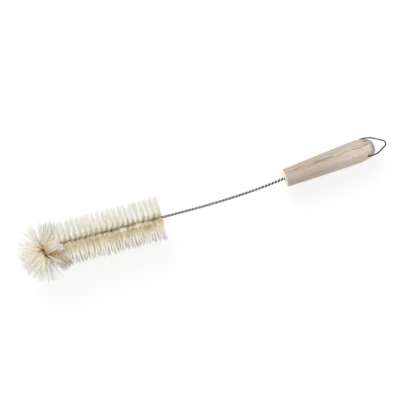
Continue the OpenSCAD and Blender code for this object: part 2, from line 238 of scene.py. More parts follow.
def core_at(s):
    """Point, direction, up and side of the core at each distance s from its end in the handle."""
    def mix(values):
        return np.stack([np.interp(s, CORE_S, values[:, k]) for k in range(3)], -1)
    along = unit(mix(CORE_DIR))
    rough = mix(CORE_UP)
    up = unit(rough - along * np.sum(rough * along, -1, keepdims=True))
    return mix(CORE), along, up, np.cross(along, up)


def twist(s):
    """Angle of the twisted wires at s, in degrees: one full turn for each pitch."""
    return 360 * (np.minimum(s, BRUSH_START) / STEM_PITCH + np.maximum(s - BRUSH_START, 0) / BRUSH_PITCH)


def bristle_dir(up, side, angle):
    """The direction across the core in which bristles leave it at a twist angle."""
    a = np.radians(angle)[..., None]
    return np.cos(a) * up - np.sin(a) * side


def strand_dir(up, side, angle):
    """The direction across the core in which the two wires lie at a twist angle."""
    a = np.radians(angle)[..., None]
    return np.cos(a) * side + np.sin(a) * up


# ---- Materials ----

WHITE = (1, 1, 1, 1)


def new_material(name, roughness, metallic=0.0, specular=0.5):
    """A material with one Principled shader, whose even values sit on its own sockets."""
    material = bpy.data.materials.new(name)
    material.use_nodes = True
    shader = material.node_tree.nodes["Principled BSDF"]
    shader.inputs["Roughness"].default_value = roughness
    shader.inputs["Metallic"].default_value = metallic
    shader.inputs["Specular IOR Level"].default_value = specular
    return material, material.node_tree, shader


def new_group(name, inputs, outputs):
    """A shader node group with named inputs, given as (kind, name, value), and named outputs, given as (kind, name)."""
    group = bpy.data.node_groups.new(name, "ShaderNodeTree")
    for kind, label, value in inputs:
        socket = group.interface.new_socket(name=label, in_out="INPUT", socket_type=kind)
        socket.default_value = value
    for kind, label in outputs:
        group.interface.new_socket(name=label, in_out="OUTPUT", socket_type=kind)
    return group, group.nodes.new("NodeGroupInput"), group.nodes.new("NodeGroupOutput")


def feed(tree, socket, value):
    """Another node's output linked into a socket, or a plain value set on it."""
    if isinstance(value, bpy.types.NodeSocket):
        tree.links.new(value, socket)
    else:
        socket.default_value = value


def calculate(tree, operation, *values, clamp=False):
    """A Math node on numbers or other nodes' outputs, kept between 0 and 1 where clamp is set."""
    node = tree.nodes.new("ShaderNodeMath")
    node.operation = operation
    node.use_clamp = clamp
    for socket, value in zip(node.inputs, values):
        feed(tree, socket, value)
    return node.outputs[0]


def rise(tree, value, start, end):
    """0 up to start, 1 from end on, and an S-shaped rise between."""
    node = tree.nodes.new("ShaderNodeMapRange")
    node.interpolation_type = "SMOOTHSTEP"
    tree.links.new(value, node.inputs["Value"])
    node.inputs["From Min"].default_value = start
    node.inputs["From Max"].default_value = end
    return node.outputs["Result"]


def blend(tree, share, a, b, kind="MIX"):
    """Colour a where share is 0 and b where it is 1, or a multiplied by b."""
    node = tree.nodes.new("ShaderNodeMix")
    node.data_type = "RGBA"
    node.blend_type = kind
    for socket, value in zip((node.inputs[0], node.inputs[6], node.inputs[7]), (share, a, b)):
        feed(tree, socket, value)
    return node.outputs[2]


def times(tree, a, b):
    """Colour a multiplied by colour b."""
    return blend(tree, 1.0, a, b, "MULTIPLY")


def attribute(tree, name):
    """The three values that a piece carries under a name."""
    node = tree.nodes.new("ShaderNodeAttribute")
    node.attribute_name = name
    return node.outputs["Vector"]


def parts_of(tree, vector):
    """The three parts of a vector."""
    node = tree.nodes.new("ShaderNodeSeparateXYZ")
    tree.links.new(vector, node.inputs[0])
    return node.outputs


def placed_group(tree, group, **values):
    """A node group in a material, with its colours and links given by the names of its inputs."""
    node = tree.nodes.new("ShaderNodeGroup")
    node.node_tree = group
    for name, value in values.items():
        feed(tree, node.inputs[name.replace("_", " ").title()], value)
    return node


def mixed_shaders(tree, share, a, b):
    """Shader a where share is 0 and b where it is 1."""
    node = tree.nodes.new("ShaderNodeMixShader")
    for socket, value in zip(node.inputs, (share, a.outputs[0], b.outputs[0])):
        feed(tree, socket, value)
    return node


def vector_node(tree, operation, a, b=None):
    """A Vector Math node on another node's output and a fixed vector."""
    node = tree.nodes.new("ShaderNodeVectorMath")
    node.operation = operation
    tree.links.new(a, node.inputs[0])
    if b is not None:
        node.inputs[1].default_value = b
    return node


def stretched(tree, place, by):
    """A place with each of its three parts multiplied, so that a pattern on it is drawn out."""
    return vector_node(tree, "MULTIPLY", place, by).outputs[0]


def noise(tree, place, detail=2.0):
    """Soft three-dimensional noise of about 0.3 to 0.7."""
    node = tree.nodes.new("ShaderNodeTexNoise")
    node.inputs["Scale"].default_value = 1.0
    node.inputs["Detail"].default_value = detail
    tree.links.new(place, node.inputs["Vector"])
    return node.outputs["Fac"]


def bumped(tree, shader, height, strength, distance):
    """Small relief on a shader, from a height that changes over the surface."""
    bump = tree.nodes.new("ShaderNodeBump")
    bump.inputs["Strength"].default_value = strength
    bump.inputs["Distance"].default_value = distance
    tree.links.new(height, bump.inputs["Height"])
    tree.links.new(bump.outputs["Normal"], shader.inputs["Normal"])


# Shares of a hair's length: where it has its middle colour, where the painted shade on its root by the wires
# ends, and where the brown fades.
MIDDLE_OF_HAIR = 0.4
ROOT_SHADE_FROM_TO = 0.10, 0.03
BROWN_FADES = 0.15, 0.85
# Hairs whose tint is under the first of these begin to be darker, and under the second are fully so.
DARKER_TINTS = 0.42, 0.12


def bristle_colours():
    """Colour of natural bristle from root to end, with single darker hairs and a share of brown ones.

    A hair's three values are the place along it, its tint and its brown. The share of brown is the brown less an
    S-shaped rise along the hair, and never under 0. The Clamped colour paints shade on the roots by the wires. The
    body's hairs are given tints and browns that carry painted light and shade, and the tip's brown wedge browns of
    painted shade.
    """
    shades = ["Root", "Middle", "End", "Darker Hairs", "Brown", "Clamped"]
    group, given, out = new_group(
        "Bristle colours",
        [("NodeSocketVector", "Hair", (0, 0, 0)), *(("NodeSocketColor", shade, WHITE) for shade in shades)],
        [("NodeSocketColor", "Colour")])
    along, tint, brown = parts_of(group, given.outputs["Hair"])
    root, middle, end, darker, browner, clamped = (given.outputs[shade] for shade in shades)
    colour = blend(group, rise(group, along, 0.0, MIDDLE_OF_HAIR), root, middle)
    colour = blend(group, rise(group, along, MIDDLE_OF_HAIR, 1.0), colour, end)
    # Painted shade on the roots, where the hairs leave the wires.
    colour = blend(group, rise(group, along, *ROOT_SHADE_FROM_TO), colour, times(group, colour, clamped))
    colour = blend(group, rise(group, tint, *DARKER_TINTS), colour, times(group, colour, darker))
    fading = calculate(group, "SUBTRACT", brown, rise(group, along, *BROWN_FADES), clamp=True)
    colour = blend(group, fading, colour, times(group, colour, browner))
    group.links.new(colour, out.inputs["Colour"])
    return group


BRISTLE_COLOURS = bristle_colours()
HAIR_ROUGHNESS = 0.42
LIGHT_THROUGH_HAIR = 0.5
# The share of light that one hair lets past it, instead of a full shadow.
THIN_SHADOW = (0.988, 0.984, 0.971, 1)


def hair_material(name, **shades):
    """Bristle that lets half of its light through, and casts only a thin shadow, as fine hair does."""
    material, tree, shader = new_material(name, HAIR_ROUGHNESS)
    colours = placed_group(tree, BRISTLE_COLOURS, hair=attribute(tree, "hair"), **shades)
    through = tree.nodes.new("ShaderNodeBsdfTranslucent")
    tree.links.new(colours.outputs["Colour"], shader.inputs["Base Color"])
    tree.links.new(colours.outputs["Colour"], through.inputs["Color"])
    hair = mixed_shaders(tree, LIGHT_THROUGH_HAIR, shader, through)
    clear = tree.nodes.new("ShaderNodeBsdfTransparent")
    clear.inputs["Color"].default_value = THIN_SHADOW
    path = tree.nodes.new("ShaderNodeLightPath")
    lit = mixed_shaders(tree, path.outputs["Is Shadow Ray"], hair, clear)
    tree.links.new(lit.outputs[0], tree.nodes["Material Output"].inputs["Surface"])
    return material


# How often the wire's patterns repeat, across the wire twice and along it once.
MARKS_PER_MM = 7.0, 7.0, 0.3
PATCHES_PER_MM = 0.7, 0.7, 0.22
# Where the noise of the patterns begins to show as dull wire, and as tarnish and painted reflection, and where it does
# so fully.
DULL_PATCHES, DULL_MARKS, TARNISH_AND_REFLECTION_PATCHES = (0.42, 0.62), (0.5, 0.68), (0.25, 0.5)
# Painted shade, in the groove between the twisted wires and on the bail's corner and near leg, and how far it turns to
# the tarnish there.
GROOVE_SHADE = (0.09, 0.088, 0.083, 1)
GROOVE_TARNISH_AND_REFLECTION = 0.5
WIRE_ROUGHNESS, ROUGHER_PATCHES, ROUGHER_GROOVE = 0.16, 0.3, 0.3
MARK_STRENGTH, MARK_HEIGHT = 0.35, 0.02


def wire_surface():
    """Drawn wire: long fine marks, dull patches, warm tarnish and painted reflection, and painted shade, as in its
    grooves, all laid along the wire.

    Its roughness is 0.16 + 0.3 patches + 0.3 groove.
    """
    group, given, out = new_group(
        "Drawn wire surface",
        [("NodeSocketVector", "Place Along Wire", (0, 0, 0)), ("NodeSocketColor", "Clean", WHITE),
         ("NodeSocketColor", "Dull", WHITE), ("NodeSocketColor", "Tarnish", WHITE),
         ("NodeSocketFloat", "Tarnished", 0.0), ("NodeSocketFloat", "In Groove", 0.0)],
        [("NodeSocketColor", "Colour"), ("NodeSocketFloat", "Roughness"), ("NodeSocketFloat", "Height")])
    place, clean, dull, tarnish, tarnished, groove = given.outputs[:6]
    marks = noise(group, stretched(group, place, MARKS_PER_MM))
    patches = noise(group, stretched(group, place, PATCHES_PER_MM), 4.0)
    colour = blend(group, rise(group, patches, *DULL_PATCHES), clean, dull)
    colour = blend(group, rise(group, marks, *DULL_MARKS), colour, dull)
    # Tarnish in patches, which on the twisted wires is painted reflection and shade of the hair round them.
    uneven_tarnish_and_reflection = calculate(group, "MULTIPLY", tarnished, rise(group, patches, *TARNISH_AND_REFLECTION_PATCHES))
    colour = blend(group, uneven_tarnish_and_reflection, colour, tarnish)
    # Painted shade, which turns partly to the tarnish where the wire is tarnished.
    painted_shade_colour = blend(group, calculate(group, "MULTIPLY", tarnished, GROOVE_TARNISH_AND_REFLECTION),
                 times(group, colour, GROOVE_SHADE), tarnish)
    colour = blend(group, groove, colour, painted_shade_colour)
    rough = calculate(group, "MULTIPLY_ADD", patches, ROUGHER_PATCHES, WIRE_ROUGHNESS)
    rough = calculate(group, "MULTIPLY_ADD", groove, ROUGHER_GROOVE, rough)
    for name, value in (("Colour", colour), ("Roughness", rough), ("Height", marks)):
        group.links.new(value, out.inputs[name])
    return group


WIRE_SURFACE = wire_surface()


def wire_material(name, **colours):
    """Metal wire. Its own place, its tarnish and painted reflection and its painted shade come from the piece's two
    sets of values.
    """
    material, tree, shader = new_material(name, 0.3, metallic=1.0)
    tarnished, in_groove, _ = parts_of(tree, attribute(tree, "wire_wear_and_painted_light"))
    surface = placed_group(tree, WIRE_SURFACE, place_along_wire=attribute(tree, "wire_place"),
                           tarnished=tarnished, in_groove=in_groove, **colours)
    tree.links.new(surface.outputs["Colour"], shader.inputs["Base Color"])
    tree.links.new(surface.outputs["Roughness"], shader.inputs["Roughness"])
    bumped(tree, shader, surface.outputs["Height"], MARK_STRENGTH, MARK_HEIGHT * MM)
    return material


# How often the wood's patterns repeat, along the handle once and across it twice.
BROAD_PER_MM = 0.012, 0.16, 0.16
GRAIN_PER_MM = 0.035, 1.1, 1.1
FINE_PER_MM = 0.16, 5.0, 5.0
SPECKS_PER_MM = 0.33, 0.9, 0.9
# Where the wood's colours begin and are full, in mm on the handle: along x, along y, or off an axis.
# The rear rim's x is where grey painted shade lies along the dome's edge.
REAR_X, REAR_RIM_SHADE_X, FRONT_FACE_X = (25.0, 100.0), (98.0, 105.0), (0.9, 0.2)
# Along y, painted shade greys the far half of the handle, and grey painted shade lies along its far edge.
FAR_SIDE_SHADE_Y, FAR_RIM_SHADE_Y = (-4.0, 8.0), (7.0, 12.5)
# Where the painted shadow of the bail's far leg lies on the wood, by the far hole.
LEG_SHADOW_X, LEG_SHADOW_Y = (90.0, 98.0), (5.0, 8.0)
# Painted shade in the bore and the cross hole, by distance from their axes.
OFF_BORE, OFF_CROSS_HOLE = (3.1, 1.7), (1.3, 0.8)
STREAK_Y, STREAK_BENT, OFF_STREAK = 6.0, 5.0, (4.2, 0.6)
# Where the noise of the wood's patterns begins to show, and where it does so fully.
BROAD_BANDS, GRAIN_LINES, STREAK_LINES = (0.38, 0.62), (0.40, 0.66), (0.40, 0.60)
PORES, SPECKS = (0.60, 0.70), (0.72, 0.78)
GRAIN_STRENGTH, PORE_STRENGTH, SPECK_STRENGTH, LEG_SHADOW_STRENGTH = 0.5, 0.45, 0.8, 0.8
BROAD_SHARE = 0.5
MORE_SPECKS_IN_STREAK = 0.09
WOOD_ROUGHNESS, ROUGHER_GRAIN = 0.42, 0.35
WOOD_RELIEF, WOOD_RELIEF_HEIGHT, FINE_RELIEF = 0.5, 0.05, 0.5

WOOD_PALE, WOOD_REAR = (0.54, 0.455, 0.37, 1), (0.76, 0.665, 0.565, 1)
WOOD_GRAIN, WOOD_STREAK = (0.44, 0.35, 0.27, 1), (0.27, 0.21, 0.16, 1)
# The two greys below are painted shade: the far side's and the rims'.
WOOD_FAR_SIDE_SHADE, WOOD_RIM_SHADE = (0.72, 0.71, 0.70, 1), (0.33, 0.30, 0.27, 1)
# The first colour below is the painted shadow of the bail's far leg.
WOOD_LEG_SHADOW, WOOD_SPECK = (0.17, 0.135, 0.09, 1), (0.13, 0.08, 0.05, 1)
# The second colour below is painted shade in the holes.
WOOD_END, WOOD_HOLE_SHADE = (0.92, 0.85, 0.75, 1), (0.10, 0.07, 0.05, 1)


def on_handle(tree):
    """Place on the handle in mm: x from the front face along its axis, y towards its far side, z upwards."""
    where = tree.nodes.new("ShaderNodeTexCoord")
    own = tree.nodes.new("ShaderNodeMapping")
    own.vector_type = "TEXTURE"
    own.inputs["Location"].default_value = PLACE.tolist()
    own.inputs["Rotation"].default_value = Matrix((LYING @ turn("Z", HANDLE_HEADING)).tolist()).to_euler()
    own.inputs["Scale"].default_value = (MM, MM, MM)
    tree.links.new(where.outputs["Object"], own.inputs["Vector"])
    return own.outputs["Vector"]


def off_line(tree, place, point, direction):
    """How far a place is from the line through a point: the length of the cross product with its direction."""
    from_point = vector_node(tree, "SUBTRACT", place, point).outputs[0]
    crossed = vector_node(tree, "CROSS_PRODUCT", from_point, direction).outputs[0]
    return vector_node(tree, "LENGTH", crossed).outputs["Value"]


def wood_material(name):
    """Turned pale wood: grain along its axis, a darker streak, specks, pores and a pale front face, with painted
    shade in its holes, on its far side and along its rims, and the painted shadow of the bail's far leg.

    The streak is where y is near 6 - 5 broad noise: it fades as the size of their difference grows.
    """
    material, tree, shader = new_material(name, 0.6, specular=0.3)
    place = on_handle(tree)
    x, y, _ = parts_of(tree, place)
    broad = noise(tree, stretched(tree, place, BROAD_PER_MM), 3.0)
    grain = noise(tree, stretched(tree, place, GRAIN_PER_MM), 3.0)
    fine = noise(tree, stretched(tree, place, FINE_PER_MM))
    specks = noise(tree, stretched(tree, place, SPECKS_PER_MM), 1.0)

    off_middle = calculate(tree, "MULTIPLY_ADD", y, 1.0, -STREAK_Y)
    off_streak = calculate(tree, "ABSOLUTE", calculate(tree, "MULTIPLY_ADD", broad, STREAK_BENT, off_middle))
    streak = rise(tree, off_streak, *OFF_STREAK)
    off_bore = off_line(tree, place, (0, 0, 0), (1, 0, 0))
    hinge_dir = (turn("X", -HINGE_ROLL) @ np.array([0.0, 1.0, 0.0])).tolist()
    off_hinge = off_line(tree, place, (HINGE_AT, 0, 0), hinge_dir)

    def share(value, from_to, strength=1.0):
        """How much of a colour shows where a value rises, up to a strength."""
        risen = rise(tree, value, *from_to)
        return risen if strength == 1.0 else calculate(tree, "MULTIPLY", risen, strength)

    bands = calculate(tree, "MULTIPLY_ADD", share(broad, BROAD_BANDS), BROAD_SHARE, share(grain, GRAIN_LINES))
    more_specks = calculate(tree, "MULTIPLY_ADD", streak, MORE_SPECKS_IN_STREAK, specks)
    # The painted shadow of the bail's far leg, by the far hole.
    leg_shadow = calculate(tree, "MULTIPLY", share(x, LEG_SHADOW_X), share(y, LEG_SHADOW_Y))
    colour = blend(tree, share(x, REAR_X), WOOD_PALE, WOOD_REAR)
    colour = blend(tree, calculate(tree, "MULTIPLY", bands, GRAIN_STRENGTH), colour, WOOD_GRAIN)
    # Painted shade greys the far side.
    colour = blend(tree, share(y, FAR_SIDE_SHADE_Y), colour, times(tree, colour, WOOD_FAR_SIDE_SHADE))
    for shown, laid_over in (
            (calculate(tree, "MULTIPLY", streak, share(grain, STREAK_LINES)), WOOD_STREAK),
            (share(fine, PORES, PORE_STRENGTH), WOOD_STREAK),
            (share(more_specks, SPECKS, SPECK_STRENGTH), WOOD_SPECK),
            # Grey painted shade along the far edge and the rear rim.
            (share(y, FAR_RIM_SHADE_Y), WOOD_RIM_SHADE),
            (share(x, REAR_RIM_SHADE_X), WOOD_RIM_SHADE),
            # Painted shadow of the bail's far leg.
            (calculate(tree, "MULTIPLY", leg_shadow, LEG_SHADOW_STRENGTH), WOOD_LEG_SHADOW),
            (share(x, FRONT_FACE_X), WOOD_END),
            # Painted shade in the bore and the cross hole.
            (share(off_bore, OFF_BORE), WOOD_HOLE_SHADE),
            (share(off_hinge, OFF_CROSS_HOLE), WOOD_HOLE_SHADE)):
        colour = blend(tree, shown, colour, laid_over)
    rough = calculate(tree, "MULTIPLY_ADD", grain, ROUGHER_GRAIN, WOOD_ROUGHNESS)
    tree.links.new(colour, shader.inputs["Base Color"])
    tree.links.new(rough, shader.inputs["Roughness"])
    relief = calculate(tree, "MULTIPLY_ADD", fine, FINE_RELIEF, grain)
    bumped(tree, shader, relief, WOOD_RELIEF, WOOD_RELIEF_HEIGHT * MM)
    return material


WOOD = wood_material("Turned_wood")
# The twisted wires' tarnish colour is painted reflection of the hair round them within the bristles, and its shade.
STEEL = wire_material(
    "Galvanised_wire", clean=(0.72, 0.72, 0.73, 1), dull=(0.56, 0.56, 0.57, 1), tarnish=(0.30, 0.24, 0.09, 1))
BAIL_STEEL = wire_material(
    "Bail_wire", clean=(0.085, 0.087, 0.09, 1), dull=(0.045, 0.045, 0.047, 1), tarnish=(0.05, 0.04, 0.03, 1))
# Each Clamped colour below is painted shade where the hairs leave the wires.
BODY_HAIR = hair_material(
    "Body_bristle", root=(0.985, 0.955, 0.85, 1), middle=(0.99, 0.975, 0.92, 1), end=(0.985, 0.98, 0.96, 1),
    darker_hairs=(0.84, 0.83, 0.78, 1), brown=(0.76, 0.68, 0.45, 1), clamped=(0.33, 0.26, 0.12, 1))
# On the brown wedge, the tip's Brown is painted shade within its dense tuft.
TIP_HAIR = hair_material(
    "Tip_bristle", root=(0.905, 0.84, 0.675, 1), middle=(0.915, 0.89, 0.81, 1), end=(0.915, 0.91, 0.885, 1),
    darker_hairs=(0.66, 0.64, 0.57, 1), brown=(0.80, 0.63, 0.37, 1), clamped=(0.80, 0.68, 0.50, 1))

# ---- The two twisted wires ----

STRAND_SIDES = 14
STRAND_RINGS_PER_TURN = 28
# Half of the stretch from which the strand's direction is taken.
STRAND_SLOPE = 0.2
STRAND_EDGE = 0.12
SQUARE_END = 0.001
# The groove, where shade is painted, begins at the wire's outer crest and is full from here inwards, as shares of
# its radius.
GROOVE_FROM_TO = 1.0, 0.55
# How far from the body's two ends, along the core, the painted reflection begins and thins, and how much of it stays
# on the ring's crests.
PAINTED_REFLECTION_STARTS, PAINTED_REFLECTION_THINS, CREST_PAINTED_REFLECTION = (-3.0, 5.0), (-2.0, 4.0), 0.2
# Far enough that the two strands don't share their marks.
MARKS_APART = 400.0


def strand_middle(s, which):
    """The wire's centre: beside the core line, further out where it clamps bristles, turning with the twist."""
    p, _, up, side = core_at(s)
    gap = lerp(STRAND_GAP / 2, ROOT_THICKNESS / 2 + CLAMP_GAP,
               np.clip((s - BRUSH_START + PARTING_LENGTH) / PARTING_LENGTH, 0, 1))
    return p + which * (WIRE_R + gap)[:, None] * strand_dir(up, side, twist(s))


def make_strand(name, which, replaced):
    """A round tube swept along the strand's helix, with its two ends cut square and their edges broken.

    Rings stand at equal angles of the twist. A corner's way out from the core, cos a, says how deep in the groove
    between the two wires it lies. Within the bristles the wire has a painted reflection of the hair round it and its
    shade, which thins on the crests where the wires leave the body, so that the wire's own colour shows there.
    """
    total = twist(np.array(CORE_END))
    angles = np.linspace(0, total, int(total / 360 * STRAND_RINGS_PER_TURN))
    at_brush = twist(np.array(BRUSH_START))
    s = np.where(angles < at_brush, angles / 360 * STEM_PITCH, BRUSH_START + (angles - at_brush) / 360 * BRUSH_PITCH)
    s = np.concatenate([[SQUARE_END, STRAND_EDGE], s[1:-1], [CORE_END - STRAND_EDGE, CORE_END - SQUARE_END]])
    radii = np.full(len(s), WIRE_R)
    radii[[0, -1]] = WIRE_R - STRAND_EDGE
    along = unit(strand_middle(np.minimum(s + STRAND_SLOPE, CORE_END), which)
                 - strand_middle(np.maximum(s - STRAND_SLOPE, 0), which))
    _, _, up, side = core_at(s)
    outward = which * strand_dir(up, side, twist(s))
    across = unit(outward - along * np.sum(outward * along, -1, keepdims=True))
    points, faces, straightened = tube(strand_middle(s, which), across, np.cross(along, across), radii, STRAND_SIDES)
    piece = make_piece(name, to_frame(points), faces, "brush", [replaced], STEEL)
    add_values(piece, "wire_place", straightened + [0, 0, MARKS_APART * which])
    # The groove's painted shade between the two wires.
    groove = smooth(*GROOVE_FROM_TO, straightened[:, 0] / WIRE_R)
    ring_s = np.concatenate([s[:1], np.repeat(s, STRAND_SIDES), s[-1:]])
    # Painted reflection and shade of the hair on the wire within the body, thinned on the ring's crests.
    starts, thins = (smooth(at + a, at + b, ring_s) for at, (a, b) in
                     ((BRUSH_START, PAINTED_REFLECTION_STARTS), (BRUSH_END, PAINTED_REFLECTION_THINS)))
    tarnished = starts * lerp(1.0, CREST_PAINTED_REFLECTION + (1 - CREST_PAINTED_REFLECTION) * groove, thins)
    add_values(piece, "wire_wear_and_painted_light", np.stack([tarnished, groove, 0 * groove], -1))


make_strand("twisted_wire_a", 1, "wire_strand_a")
make_strand("twisted_wire_b", -1, "wire_strand_b")

# ---- The hanging bail ----

BAIL_SIDES = 18
BAIL_BEND_STEP = 5.0
BAIL_STRAIGHT_STEP = 1.2
BAIL_EDGE = 0.1
# The wire is worn this far past its hooked ends. Painted shade lies on it from one share of its length to another
# beyond the hook, over the corner and the near leg.
WORN_PAST_HOOK = 8.0
BAIL_PAINTED_SHADE, BAIL_SHADE_FROM_TO, BAIL_SHADE_OFF_ENDS = 0.95, (0.35, 0.6), (6.0, 11.0)


def handle_r(x):
    """Radius of the handle at x: an eased taper to its widest place, then a blunt dome."""
    t = np.clip(x / HANDLE_WIDEST_AT, 0, 1)
    dome = np.clip((x - HANDLE_WIDEST_AT) / REAR_LENGTH, 0, 1)
    taper_r = lerp(HANDLE_FRONT_R, HANDLE_MAX_R, 1 - (1 - t) ** TAPER_EASE)
    return np.where(x < HANDLE_WIDEST_AT, taper_r, HANDLE_MAX_R * (1 - dome * dome) ** (1 / DOME_FULLNESS))


def rounded_line(corners, radii, bend_step, straight_step):
    """Points and directions along straight legs whose corners are rounded by arcs, all in one plane."""
    points, dirs = [corners[0]], [unit(corners[1] - corners[0])]
    for a, b, c, r in zip(corners[:-2], corners[1:-1], corners[2:], radii):
        before, after = unit(b - a), unit(c - b)
        bend = np.arctan2(before[0] * after[1] - before[1] * after[0], before @ after)
        start = b - r * np.tan(abs(bend) / 2) * before
        steps = max(1, int(np.linalg.norm(start - points[-1]) / straight_step))
        t = np.arange(1, steps)[:, None] / steps
        leg = lerp(points[-1], start, t)
        middle = start + np.sign(bend) * r * np.array([-before[1], before[0]])
        count = int(np.ceil(np.degrees(abs(bend)) / bend_step))
        now = np.arctan2(before[1], before[0]) + bend * np.arange(count + 1) / count
        arc = middle - np.sign(bend) * r * np.stack([-np.sin(now), np.cos(now)], -1)
        points += [*leg, *arc]
        dirs += [*np.repeat(before[None], len(leg), 0), *np.stack([np.cos(now), np.sin(now)], -1)]
    steps = max(1, int(np.linalg.norm(corners[-1] - points[-1]) / straight_step))
    leg = lerp(points[-1], corners[-1], np.arange(1, steps + 1)[:, None] / steps)
    points += [*leg]
    dirs += [*np.repeat(unit(corners[-1] - corners[-2])[None], len(leg), 0)]
    return np.array(points), np.array(dirs)


def at_hinge(points):
    """Points of the bail's plane, with X along the handle from the hinge and Y along the hinge, put on the brush."""
    placed = points @ turn("X", -HINGE_ROLL).T + np.array([HINGE_AT, 0, 0])
    return placed @ turn("Z", HANDLE_HEADING).T


def make_bail():
    """A round wire along a bent line: two hooked ends in the cross hole, two bowed legs and a corner."""
    hinge_r = float(handle_r(np.array(HINGE_AT)))
    near_leg = hinge_r + WOOD_GAP + HOOK_BEND
    far_leg = near_leg + FAR_LEG_EXTRA
    corners = np.array([[0, hinge_r - HOOK_DEPTH], [0, far_leg], [FAR_BOW_AT, far_leg - FAR_BOW_IN],
                        [BAIL_CORNER_AT, -BAIL_CORNER_SIDE], [NEAR_BOW_AT, NEAR_BOW_IN - near_leg],
                        [0, -near_leg], [0, HOOK_DEPTH - hinge_r]])
    bends = [HOOK_BEND, FAR_BOW_R, BAIL_CORNER_R, NEAR_BOW_R, HOOK_BEND]
    line, dirs = rounded_line(corners, bends, BAIL_BEND_STEP, BAIL_STRAIGHT_STEP)
    line = np.concatenate([line[:1], line[:1] + BAIL_EDGE * dirs[:1], line[1:-1],
                           line[-1:] - BAIL_EDGE * dirs[-1:], line[-1:]])
    dirs = np.concatenate([dirs[:1], dirs, dirs[-1:]])
    radii = np.full(len(line), BAIL_WIRE_R)
    radii[[0, -1]] = BAIL_WIRE_R - BAIL_EDGE
    flat = np.zeros((len(line), 1))
    centres = np.hstack([line, flat])
    across = np.hstack([-dirs[:, 1:], dirs[:, :1], flat])
    upright = np.repeat(Z_UP[None], len(line), 0)
    points, faces, straightened = tube(centres, across, -upright, radii, BAIL_SIDES)
    points = to_frame(at_hinge(points))
    piece = make_piece("bail_loop", points, faces, "bail", ["hanging_bail"], BAIL_STEEL)
    add_values(piece, "wire_place", straightened)
    at = straightened[:, 2]
    off_ends = np.minimum(at, at[-1] - at)
    worn = smooth(HOOK_DEPTH + WORN_PAST_HOOK, HOOK_DEPTH, off_ends)
    # Painted shade over the bail's corner and near leg.
    bail_painted_shade = BAIL_PAINTED_SHADE * smooth(*BAIL_SHADE_FROM_TO, at / at[-1]) * smooth(*BAIL_SHADE_OFF_ENDS, off_ends)
    add_values(piece, "wire_wear_and_painted_light", np.stack([worn, bail_painted_shade, 0 * worn], -1))


make_bail()

# ---- What all of the bristles share ----

# Shares of a hair's length at which it has its points, and how thick it is there, as shares of its radius.
HAIR_STEPS = np.array([0.0, 0.25, 0.55, 0.92, 1.0])
HAIR_TAPER = np.array([0.9, 1.0, 0.95, 0.8])
HAIR_SIDES = 3
HAIR_R, HAIR_R_UNEVEN = 0.068, (0.8, 1.2)
# A direction that no hair has, from which the corners round a hair are counted.
NO_HAIR_DIR = 0.31, 0.17, 0.93
# No hair ends further out than this on the frame's -Y side.
FURTHEST_SIDE = 35.2
# A hair stops STOPS_BEFORE short of wire that is within NEAR_WIRE of its line and over PAST_ROOT from its root.
NEAR_WIRE, STOPS_BEFORE, PAST_ROOT = 2.0, 1.5, 4.0

# Each kind of hair has random draws of its own, from SEED plus its number here and the number of its piece.
DRAWS = {"body hairs": 0, "clump lengths": 8, "clump steps": 9, "sector steps": 10, "tip hairs": 20,
         "back sweep": 31, "brown wedge": 32, "body thickness": 50, "tip thickness": 70}
WISPS_PER_TUFT, HAIRS_PER_WISP = 2, 6
# Three numbers for uneven() and wander(): how much a whole tuft, a wisp and a single hair differ from the next.
SHORTNESS = 0.2, 0.65, 0.15
TINT = 0.2, 0.6, 0.2


def draws(kind, k=0):
    """The random draws of one kind of hair, for its piece number k."""
    return np.random.default_rng(SEED + DRAWS[kind] + k)


def kept_inside(line):
    """Hairs' points, raised where they would go through the floor and drawn in where they end too far aside.

    A hair that ends past the limit is made smaller about its root, by limit less root over end less root.
    """
    lowest, limit = HAIR_R * MM, -FURTHEST_SIDE * MM
    line[..., 2] = np.maximum(line[..., 2], lowest)
    root, end = line[:, :1], line[:, -1:]
    smaller = (limit - root[..., 1:2]) / (end - root)[..., 1:2]
    return root + (line - root) * np.where(end[..., 1:2] < limit, smaller, 1.0)


def hair_faces(hairs):
    """Quads between each hair's rings of corners, triangles to its last point and one that closes its root."""
    rings = len(HAIR_STEPS) - 1
    i, j = np.meshgrid(np.arange(rings - 1), np.arange(HAIR_SIDES), indexing="ij")
    a, b = i * HAIR_SIDES + j, i * HAIR_SIDES + (j + 1) % HAIR_SIDES
    quads = np.stack([a, b, b + HAIR_SIDES, a + HAIR_SIDES], -1).reshape(-1, 4)
    m = np.arange(HAIR_SIDES)
    last, end = (rings - 1) * HAIR_SIDES, rings * HAIR_SIDES
    ends = np.stack([last + m, last + (m + 1) % HAIR_SIDES, np.full(HAIR_SIDES, end)], -1)
    start = (np.arange(hairs) * (end + 1))[:, None, None]
    return [(start + f[None]).reshape(-1, f.shape[1]) for f in (quads, ends, m[None, ::-1])]


